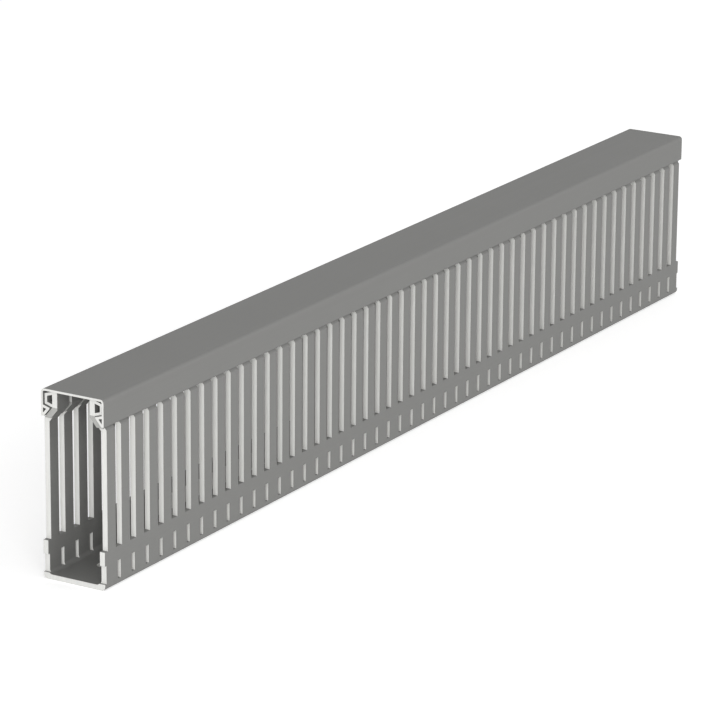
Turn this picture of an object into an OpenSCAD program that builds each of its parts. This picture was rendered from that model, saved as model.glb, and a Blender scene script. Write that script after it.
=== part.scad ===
// Slotted wire duct: a U-shaped trough with open fingers along both walls,
// and a cover that hooks over the heads of the fingers and slides along them.
// Lengths are in millimetres. The duct runs along X, its floor lies on Z = 0,
// and the origin is the middle of the underside.

/* [Duct] */
// Length of the trough and of the cover
duct_length = 500; // [60:10:2000]
// Width over the cover
duct_width = 30; // [25:5:120]
// Height from the underside to the top of the cover
duct_height = 80; // [40:5:100]

/* [Trough] */
// Thickness of the walls and of the fingers
wall_t = 2.4; // [1.2:0.1:3]
// Thickness of the floor
floor_t = 2.2; // [1.2:0.1:3]
// Radius of the inside corners between floor and walls
floor_fillet = 1.8; // [0.5:0.1:4]
// Radius of the outside corners between underside and walls
edge_radius = 2; // [0.5:0.1:3]

/* [Slots] */
// Distance from one slot to the next
slot_pitch = 10; // [8:0.5:20]
// Width of the open slot between two fingers
slot_width = 4.2; // [2:0.1:6]
// Height of the slot's lower end above the underside
slot_bottom = 16.4; // [14:0.2:30]
// Gap left between the wide heads of two fingers
head_gap = 1.8; // [0.5:0.1:3]
// Width of the narrow break-out slit below each slot
slit_width = 2; // [0.8:0.1:3]
// Height of the slit's lower end above the underside
slit_bottom = 2.8; // [2.2:0.1:5]
// Height of the slit's upper end above the underside
slit_top = 10.5; // [7:0.1:12]

/* [Finger heads] */
// How far a finger steps inwards below its head
step_in = 4.7; // [4:0.1:6]
// Height over which the finger steps inwards
step_rise = 5.6; // [5:0.1:7]
// Wall thickness of the hollow rib on the head's outer side
rib_t = 1.2; // [0.6:0.1:1.4]
// Slope of the rib's upper and lower sides, in degrees
rib_slope = 16; // [8:1:22]

/* [Cover] */
// Thickness of the cover's top and skirts
cover_t = 0.9; // [0.7:0.1:1.5]
// Height of the skirts, over the top
cover_depth = 11.5; // [10.5:0.1:15]
// Outside radius of the cover's long edges
cover_radius = 1.6; // [1.6:0.1:3]
// Wall thickness of the hollow hooks inside the skirts
hook_t = 1.1; // [0.6:0.1:1.2]
// Reach of the hooks inwards from the skirt's outer face
hook_reach = 4; // [3:0.1:4.2]

/* [Fit] */
// Running clearance between the cover and the heads
slide_gap = 0.25; // [0.15:0.05:0.5]
// How far the cover stands out past each wall of the trough
cover_overhang = 0.1; // [0:0.05:0.5]
// How far the slots end below the cover's lower edge
slot_drop = 0.7; // [0.3:0.1:1.2]
// How far the fingers start to step inwards below the cover's lower edge
step_drop = 1.7; // [1.3:0.1:2.5]

/* [Mounting holes] */
// Distance from one mounting hole to the next
hole_pitch = 50; // [25:5:100]
// Width of a mounting hole
hole_width = 5; // [4:0.5:7]
// Length of a mounting hole, along the duct
hole_length = 15; // [8:1:20]

/* [Hidden] */
$fn = 48;
cut_over = 1;

trough_width = duct_width - 2 * cover_overhang;
cover_bottom = duct_height - cover_depth;
cover_inside = duct_height - cover_t;
slot_top = cover_bottom - slot_drop;
step_low = cover_bottom - step_drop;

// The step of the fingers, as a slope of height over depth
step_slope = step_rise / step_in;
step_top = step_low + step_rise;
// Drop of the step's corners from the outer to the inner face of the wall
step_mitre = wall_t * tan(atan(step_in / step_rise) / 2);

head_top = cover_inside - slide_gap;
rib_out = cover_t - cover_overhang + slide_gap;
rib_fall = tan(rib_slope);
// Vertical height of a wall that lies along the rib's slope
rib_rise = rib_t / cos(rib_slope);

// Sides of the hook: one runs along the step, one along the rib's lower side
hook_low = step_low + slide_gap * sqrt(1 + pow(step_slope, 2));
hook_high = step_top - slide_gap / cos(rib_slope);
hook_low_rise = hook_t * sqrt(1 + pow(step_slope, 2));
hook_high_rise = hook_t / cos(rib_slope);

slot_count = ceil(duct_length / slot_pitch);
hole_count = max(1, floor(duct_length / hole_pitch));

// Depth at which the hook's low line, raised by `up`, meets its high line, lowered by `down`
function hook_tip(up, down) =
    (hook_high + rib_fall * step_in - down - hook_low - up) / (step_slope + rib_fall);

// Height of the hook's low and high lines at a depth from the wall's outer face
function low_line(depth) = hook_low + step_slope * depth;
function high_line(depth) = hook_high + rib_fall * (step_in - depth);

// Stands a section in Y and Z along the duct, centred on the origin
module run_along_x() {
    rotate([90, 0, 90])
        linear_extrude(height = duct_length, center = true)
            children();
}

// Repeats a section that is drawn as (depth from the outer face, height) at both walls
module at_both_walls(width) {
    for (side = [0, 1])
        mirror([side, 0])
            translate([-width / 2, 0])
                children();
}

// Rectangle on the line y = 0, centred on x = 0, with its two upper corners rounded
module arch(width, height, radius) {
    translate([-width / 2, 0])
        square([width, height - radius]);
    translate([-width / 2 + radius, 0])
        square([width - 2 * radius, height]);
    for (side = [-1, 1])
        translate([side * (width / 2 - radius), height - radius])
            circle(r = radius);
}

// Outline of one wall, as [depth from the outer face, height], from the underside over
// the finger, its step and its head to where the rounded corner of the channel begins
function wall_outline() = [
    [0, 0],
    [0, step_low],
    [step_in, step_top],
    [rib_out, step_top + (step_in - rib_out) * rib_fall],
    [rib_out, head_top - (step_in - rib_out) * rib_fall],
    [step_in, head_top],
    [step_in + wall_t, head_top],
    [step_in + wall_t, step_top - step_mitre],
    [wall_t, step_low - step_mitre],
    [wall_t, floor_t + floor_fillet]
];

// The hollow of the rib on a head
module rib_hollow() {
    hollow_out = rib_out + rib_t;
    fall = (step_in - hollow_out) * rib_fall;
    polygon([
        [hollow_out, step_top + rib_rise + fall],
        [hollow_out, head_top - rib_rise - fall],
        [step_in, head_top - rib_rise],
        [step_in, step_top + rib_rise]
    ]);
}

// What is taken off to round the outside corner of a wall and the underside
module corner_round() {
    difference() {
        translate([-cut_over, -cut_over])
            square(edge_radius + cut_over);
        translate([edge_radius, edge_radius])
            circle(r = edge_radius);
    }
}

// Both walls and the floor; the channel between them has rounded lower corners
module trough_section() {
    wall = wall_outline();
    half = trough_width / 2;
    channel_h = floor_fillet + cut_over;
    difference() {
        polygon(concat(
            [for (p = wall) [p[0] - half, p[1]]],
            [for (i = [len(wall) - 1 : -1 : 0]) [half - wall[i][0], wall[i][1]]]
        ));
        at_both_walls(trough_width) {
            rib_hollow();
            corner_round();
        }
        translate([0, floor_t + channel_h])
            mirror([0, 1])
                arch(trough_width - 2 * wall_t, channel_h, floor_fillet);
    }
}

// What is punched through both walls at one pitch: slot, head gap and slit
module wall_punch() {
    translate([-slot_width / 2, slot_bottom])
        square([slot_width, slot_top - slot_bottom]);
    translate([-head_gap / 2, slot_bottom])
        square([head_gap, duct_height - slot_bottom]);
    translate([-slit_width / 2, slit_bottom])
        square([slit_width, slit_top - slit_bottom]);
}

// Oblong mounting hole through the floor, lying along the duct
module mounting_hole() {
    translate([0, 0, -cut_over])
        linear_extrude(height = floor_t + 2 * cut_over) {
            square([hole_length - hole_width, hole_width], center = true);
            for (side = [-1, 1])
                translate([side * (hole_length - hole_width) / 2, 0])
                    circle(d = hole_width);
        }
}

module duct_trough() {
    color("#8b8b89")
        difference() {
            run_along_x()
                trough_section();
            for (i = [0 : slot_count])
                translate([-duct_length / 2 + i * slot_pitch, 0, 0])
                    rotate([90, 0, 0])
                        linear_extrude(height = duct_width + 2 * cut_over, center = true)
                            wall_punch();
            for (i = [0 : hole_count - 1])
                translate([(i - (hole_count - 1) / 2) * hole_pitch, 0, 0])
                    mounting_hole();
        }
}

// Hollow hook on the inner face of a skirt, drawn from the trough's outer face
module hook_section() {
    skirt_in = cover_t - cover_overhang;
    tip = hook_tip(0, 0);
    hollow_tip = hook_tip(hook_low_rise, hook_high_rise);
    difference() {
        intersection() {
            polygon([
                [-cover_overhang, low_line(-cover_overhang)],
                [tip, low_line(tip)],
                [-cover_overhang, high_line(-cover_overhang)]
            ]);
            translate([-cover_overhang, cover_bottom])
                square([hook_reach, cover_depth]);
        }
        polygon([
            [skirt_in, low_line(skirt_in) + hook_low_rise],
            [hollow_tip, low_line(hollow_tip) + hook_low_rise],
            [skirt_in, high_line(skirt_in) - hook_high_rise]
        ]);
    }
}

module cover_section() {
    difference() {
        translate([0, cover_bottom])
            arch(duct_width, cover_depth, cover_radius);
        translate([0, cover_bottom - cut_over])
            arch(duct_width - 2 * cover_t, cover_depth - cover_t + cut_over, cover_radius - cover_t);
    }
    at_both_walls(trough_width)
        hook_section();
}

module duct_cover() {
    color("#8b8b89")
        run_along_x()
            cover_section();
}

duct_trough();
duct_cover();
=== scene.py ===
import math

import bpy
from mathutils import Matrix, Vector


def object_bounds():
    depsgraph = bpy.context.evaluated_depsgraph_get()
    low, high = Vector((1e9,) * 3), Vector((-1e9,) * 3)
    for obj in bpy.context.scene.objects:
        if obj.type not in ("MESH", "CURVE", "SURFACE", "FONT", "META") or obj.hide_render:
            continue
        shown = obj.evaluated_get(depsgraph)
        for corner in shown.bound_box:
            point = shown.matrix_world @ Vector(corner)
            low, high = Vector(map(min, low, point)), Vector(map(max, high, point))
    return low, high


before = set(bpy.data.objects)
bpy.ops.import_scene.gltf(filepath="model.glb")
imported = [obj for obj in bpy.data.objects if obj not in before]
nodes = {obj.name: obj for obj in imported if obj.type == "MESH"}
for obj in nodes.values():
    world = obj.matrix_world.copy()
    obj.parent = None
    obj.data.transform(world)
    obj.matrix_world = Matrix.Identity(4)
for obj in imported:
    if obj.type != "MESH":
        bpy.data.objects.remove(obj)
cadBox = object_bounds()          # the CAD model's box
mm = 0.001
noiseSpan = (0.3, 0.7)        # where nearly all values of a noise lie


def linear(hexCode):
    # a colour written in sRGB, turned to the linear colour that a shader reads
    parts = [int(hexCode[i:i + 2], 16) / 255 for i in (1, 3, 5)]
    return tuple(c / 12.92 if c <= 0.04045 else ((c + 0.055) / 1.055) ** 2.4 for c in parts) + (1,)


def addNode(tree, kind, links=None, **settings):
    # adds one node; settings are its properties, links say what its inputs get:
    # a value, another node's socket, or a node, which stands for its first output
    node = tree.nodes.new(kind)
    for key, value in settings.items():
        setattr(node, key, value)
    for key, value in (links or {}).items():
        if isinstance(value, bpy.types.Node):
            value = value.outputs[0]
        if isinstance(value, bpy.types.NodeSocket):
            tree.links.new(value, node.inputs[key])
        else:
            node.inputs[key].default_value = value
    return node


def newMaterial(name):
    material = bpy.data.materials.new(name)
    material.use_nodes = True
    material.node_tree.nodes.clear()
    return material, material.node_tree


def directionFrom(azimuth, elevation):
    # azimuth 0 is in front (-Y), 90 is on the +X side; both in degrees
    a, e = math.radians(azimuth), math.radians(elevation)
    return Vector((math.sin(a) * math.cos(e), -math.cos(a) * math.cos(e), math.sin(e)))


view = {
    "target": (-11.1, 11.3, 29.4),   # mm, a point on the axis of view
    "azimuth": -59.01,
    "elevation": 17.30,
    "roll": 0.467,
    "distance": 1856.4,              # mm
    "lens": 208.3,
    "sensor": 36.0,
    "clip": (0.01, 100),             # m
}


def makeCamera(v):
    data = bpy.data.cameras.new("camera")
    data.lens, data.sensor_width = v["lens"], v["sensor"]
    data.clip_start, data.clip_end = v["clip"]
    cam = bpy.data.objects.new("camera", data)
    bpy.context.scene.collection.objects.link(cam)
    back = directionFrom(v["azimuth"], v["elevation"])
    right = Vector((0, 0, 1)).cross(back).normalized()
    turned = Matrix((right, back.cross(right), back)).transposed()
    turned = turned @ Matrix.Rotation(math.radians(v["roll"]), 3, "Z")
    place = (Vector(v["target"]) + back * v["distance"]) * mm
    cam.matrix_world = Matrix.Translation(place) @ turned.to_4x4()
    bpy.context.scene.camera = cam


makeCamera(view)
print("camera placed")

# Grey rigid PVC, extruded: satin, with faint lines that the die draws along the length.
# Sawn ends and punched edges are matt and paler: partly because cutting whitens the plastic, partly
# painted light standing in for the strong light on the faces that look along the duct.
troughLook = {
    "skin": "#777775",
    # partly painted light: this pale cut colour also stands in for light falling on the cut faces
    "whitenedAndLitCut": "#dfdfdc",
    "neckShade": "#adadaa",            # painted shade: cut faces of the necks under the heads, darkened as if shaded by the cover's hook
    "neckShadeSpan": (67.8, 72.4),     # mm, heights between which the necks and their painted shade lie
    "slotZone": 4,                # mm from the middle line, within which the floor slots lie
    "roughness": (0.54, 0.66),
    "specular": 0.35,             # below the usual 0.5, because the skin is a little chalky
    "cutRoughness": 0.72,
    "cutTone": (0.96, 1.03),      # share by which the tool marks change the tone of a cut
    "ior": 1.53,
    "dieLine": (180, 0.9),        # mm, length and spacing of the die's lines, drawn coarse to show
    "dieDepth": 0.02,             # mm
    "toneChange": 0.05,           # share by which the lines and the clouds change the tone
    "cloud": 35,                  # mm, size of the clouds in tone and sheen
    "lineShare": 0.6,             # share of the lines in tone and sheen, the rest is clouds
    "toolMark": (0.55, 6.6),      # mm, spacing and run of saw and punch marks, drawn coarse to show
    "toolDepth": 0.03,            # mm
    "edge": 0.18,                 # mm, radius by which edges are broken
    "edgeTurn": (0.99, 0.85),     # cosine of the turn at an edge, from none worn to all worn
    "edgeTone": 0.12,             # share by which worn edges are paler
}

coverLook = dict(troughLook, skin="#757573", neckShadeSpan=(0, 0), dieLine=(240, 1.2))


def extrudedPvc(name, look):
    material, tree = newMaterial(name)
    lowest, highest = noiseSpan
    coords = addNode(tree, "ShaderNodeTexCoord")
    inPlace = coords.outputs["Object"]
    place = addNode(tree, "ShaderNodeSeparateXYZ", {0: inPlace})
    normal = addNode(tree, "ShaderNodeSeparateXYZ", {0: coords.outputs["Normal"]})

    # the faces that look along the duct are cut: the ends and the sides of slots and slits
    alongDuct = addNode(tree, "ShaderNodeMath", {0: normal.outputs["X"]}, operation="ABSOLUTE")
    endFace = addNode(tree, "ShaderNodeMath", {0: alongDuct, 1: 0.9}, operation="GREATER_THAN")
    # so are the walls of the floor slots, which stand upright near the middle line
    tilt = addNode(tree, "ShaderNodeMath", {0: normal.outputs["Z"]}, operation="ABSOLUTE")
    upright = addNode(tree, "ShaderNodeMath", {0: tilt, 1: 0.5}, operation="LESS_THAN")
    fromMiddle = addNode(tree, "ShaderNodeMath", {0: place.outputs["Y"]}, operation="ABSOLUTE")
    nearMiddle = addNode(tree, "ShaderNodeMath", {
        0: fromMiddle, 1: look["slotZone"] * mm}, operation="LESS_THAN")
    slotWall = addNode(tree, "ShaderNodeMath", {0: upright, 1: nearMiddle}, operation="MULTIPLY")
    isCut = addNode(tree, "ShaderNodeMath", {0: endFace, 1: slotWall}, operation="MAXIMUM")

    # lines from the die, long along X and fine across it
    length, spacing = look["dieLine"]
    stretched = addNode(tree, "ShaderNodeMapping", {
        "Vector": inPlace,
        "Scale": (1 / (length * mm), 1 / (spacing * mm), 1 / (spacing * mm))})
    dieLines = addNode(tree, "ShaderNodeTexNoise", {
        "Vector": stretched, "Scale": 1.0, "Detail": 3.0, "Roughness": 0.6})
    clouds = addNode(tree, "ShaderNodeTexNoise", {
        "Vector": inPlace, "Scale": 1 / (look["cloud"] * mm), "Detail": 3.0})

    # marks of saw and punch, which run down the cut faces
    width, run = look["toolMark"]
    down = addNode(tree, "ShaderNodeMapping", {
        "Vector": inPlace,
        "Scale": (1 / (width * mm), 1 / (width * mm), 1 / (run * mm))})
    toolMarks = addNode(tree, "ShaderNodeTexNoise", {"Vector": down, "Scale": 1.0, "Detail": 2.0})

    # tone of the skin
    lineShift = addNode(tree, "ShaderNodeMath", {
        0: dieLines, 1: look["lineShare"]}, operation="MULTIPLY")
    shift = addNode(tree, "ShaderNodeMath", {
        0: clouds, 1: 1 - look["lineShare"], 2: lineShift}, operation="MULTIPLY_ADD")
    tone = addNode(tree, "ShaderNodeMapRange", {
        "Value": shift, "From Min": lowest, "From Max": highest,
        "To Min": 1 - look["toneChange"], "To Max": 1 + look["toneChange"]})
    skin = addNode(tree, "ShaderNodeHueSaturation", {"Color": linear(look["skin"]), "Value": tone})

    # tone of the cut faces, with painted shade on the necks under the cover's hook
    low, high = look["neckShadeSpan"]
    aboveLow = addNode(tree, "ShaderNodeMath", {
        0: place.outputs["Z"], 1: low * mm}, operation="GREATER_THAN")
    belowHigh = addNode(tree, "ShaderNodeMath", {
        0: place.outputs["Z"], 1: high * mm}, operation="LESS_THAN")
    inNeckShade = addNode(tree, "ShaderNodeMath", {0: aboveLow, 1: belowHigh}, operation="MULTIPLY")
    # painted shade: a darker cut colour in the band of heights where the necks lie
    litCutAndNeckShade = addNode(tree, "ShaderNodeMix", {
        0: inNeckShade, 6: linear(look["whitenedAndLitCut"]), 7: linear(look["neckShade"])}, data_type="RGBA")
    darker, paler = look["cutTone"]
    cutTone = addNode(tree, "ShaderNodeMapRange", {
        "Value": toolMarks, "From Min": lowest, "From Max": highest,
        "To Min": darker, "To Max": paler})
    whitenedAndLitCut = addNode(tree, "ShaderNodeHueSaturation", {
        "Color": litCutAndNeckShade.outputs[2], "Value": cutTone})
    # cut faces take the pale cut colour, partly whitening of the plastic and partly painted light
    base = addNode(tree, "ShaderNodeMix", {0: isCut, 6: skin, 7: whitenedAndLitCut}, data_type="RGBA")

    # edges are broken a little by handling, and paler there
    bevel = addNode(tree, "ShaderNodeBevel", {"Radius": look["edge"] * mm}, samples=4)
    geometry = addNode(tree, "ShaderNodeNewGeometry")
    facing = addNode(tree, "ShaderNodeVectorMath", {
        0: bevel, 1: geometry.outputs["Normal"]}, operation="DOT_PRODUCT")
    unworn, allWorn = look["edgeTurn"]
    edgeTone = addNode(tree, "ShaderNodeMapRange", {
        "Value": facing.outputs["Value"], "From Min": unworn, "From Max": allWorn,
        "To Min": 1.0, "To Max": 1 + look["edgeTone"]})
    colour = addNode(tree, "ShaderNodeHueSaturation", {
        "Color": base.outputs[2], "Value": edgeTone})

    # gloss of the skin changes with its tone
    smooth, dull = look["roughness"]
    skinRoughness = addNode(tree, "ShaderNodeMapRange", {
        "Value": shift, "From Min": lowest, "From Max": highest,
        "To Min": smooth, "To Max": dull})
    roughness = addNode(tree, "ShaderNodeMix", {
        0: isCut, 2: skinRoughness, 3: look["cutRoughness"]})

    # relief of the lines and the tool marks
    skinHeight = addNode(tree, "ShaderNodeMath", {
        0: dieLines, 1: look["dieDepth"] * mm}, operation="MULTIPLY")
    cutHeight = addNode(tree, "ShaderNodeMath", {
        0: toolMarks, 1: look["toolDepth"] * mm}, operation="MULTIPLY")
    height = addNode(tree, "ShaderNodeMix", {0: isCut, 2: skinHeight, 3: cutHeight})
    bump = addNode(tree, "ShaderNodeBump", {
        "Strength": 1.0, "Distance": 1.0, "Height": height, "Normal": bevel})

    shader = addNode(tree, "ShaderNodeBsdfPrincipled", {
        "Base Color": colour, "Roughness": roughness, "IOR": look["ior"],
        "Specular IOR Level": look["specular"], "Normal": bump})
    addNode(tree, "ShaderNodeOutputMaterial", {"Surface": shader})
    return material


for name, look in (("duct_trough", troughLook), ("duct_cover", coverLook)):
    made = extrudedPvc("extrudedRigidPvc_" + name, look)
    for slot in nodes[name].material_slots:
        slot.material = made
print("extruded PVC set on the trough and the cover")

studio = {
    "floor": "#f4f4f4",
    "floorGlow": 0.4,             # whitens what is seen of the floor, adds no light
    "floorSize": 12.0,            # m
    "world": 0.58,
    # each lamp: width and height in m, power in W, azimuth, elevation, distance in m
    "keyLight": ((1.0, 1.0), 11.3, -62, 13, 1.5),
    "fillLight": ((1.6, 0.9), 11.2, 30, 22, 1.8),
}


def seenRays(tree):
    # 1 for the rays that show the background: straight, in gloss, and through clear pieces
    path = addNode(tree, "ShaderNodeLightPath")
    glossy = addNode(tree, "ShaderNodeMath", {
        0: path.outputs["Is Camera Ray"], 1: path.outputs["Is Glossy Ray"]}, operation="MAXIMUM")
    return addNode(tree, "ShaderNodeMath", {
        0: glossy, 1: path.outputs["Is Transmission Ray"]}, operation="MAXIMUM")


def makeFloor(s):
    bpy.ops.mesh.primitive_plane_add(size=s["floorSize"], location=(0, 0, cadBox[0].z))
    floor = bpy.context.object
    floor.name = "floor"
    material, tree = newMaterial("paleFloor")
    diffuse = addNode(tree, "ShaderNodeBsdfDiffuse", {"Color": linear(s["floor"])})
    glow = addNode(tree, "ShaderNodeEmission", {"Color": (1, 1, 1, 1), "Strength": s["floorGlow"]})
    lit = addNode(tree, "ShaderNodeAddShader", {0: diffuse, 1: glow})
    mixed = addNode(tree, "ShaderNodeMixShader", {0: seenRays(tree), 1: diffuse, 2: lit})
    addNode(tree, "ShaderNodeOutputMaterial", {"Surface": mixed})
    floor.data.materials.append(material)


def makeWorld(s):
    world = bpy.data.worlds.new("world")
    bpy.context.scene.world = world
    world.use_nodes = True
    tree = world.node_tree
    tree.nodes.clear()
    dim = addNode(tree, "ShaderNodeBackground", {"Color": (1, 1, 1, 1), "Strength": s["world"]})
    white = addNode(tree, "ShaderNodeBackground", {"Color": (1, 1, 1, 1), "Strength": 1.0})
    mixed = addNode(tree, "ShaderNodeMixShader", {0: seenRays(tree), 1: dim, 2: white})
    addNode(tree, "ShaderNodeOutputWorld", {"Surface": mixed})


def placeLight(name, size, power, azimuth, elevation, distance):
    # a soft box that looks at the middle of the object
    data = bpy.data.lights.new(name, "AREA")
    data.shape = "RECTANGLE"
    data.size, data.size_y = size
    data.energy = power
    lamp = bpy.data.objects.new(name, data)
    bpy.context.scene.collection.objects.link(lamp)
    back = directionFrom(azimuth, elevation)
    lamp.location = (cadBox[0] + cadBox[1]) / 2 + back * distance
    lamp.rotation_mode = "QUATERNION"
    lamp.rotation_quaternion = back.to_track_quat("Z", "Y")


makeFloor(studio)
makeWorld(studio)
for name in ("keyLight", "fillLight"):
    placeLight(name, *studio[name])
print("floor, world and lights set")

bpy.context.scene.view_settings.view_transform = "Standard"
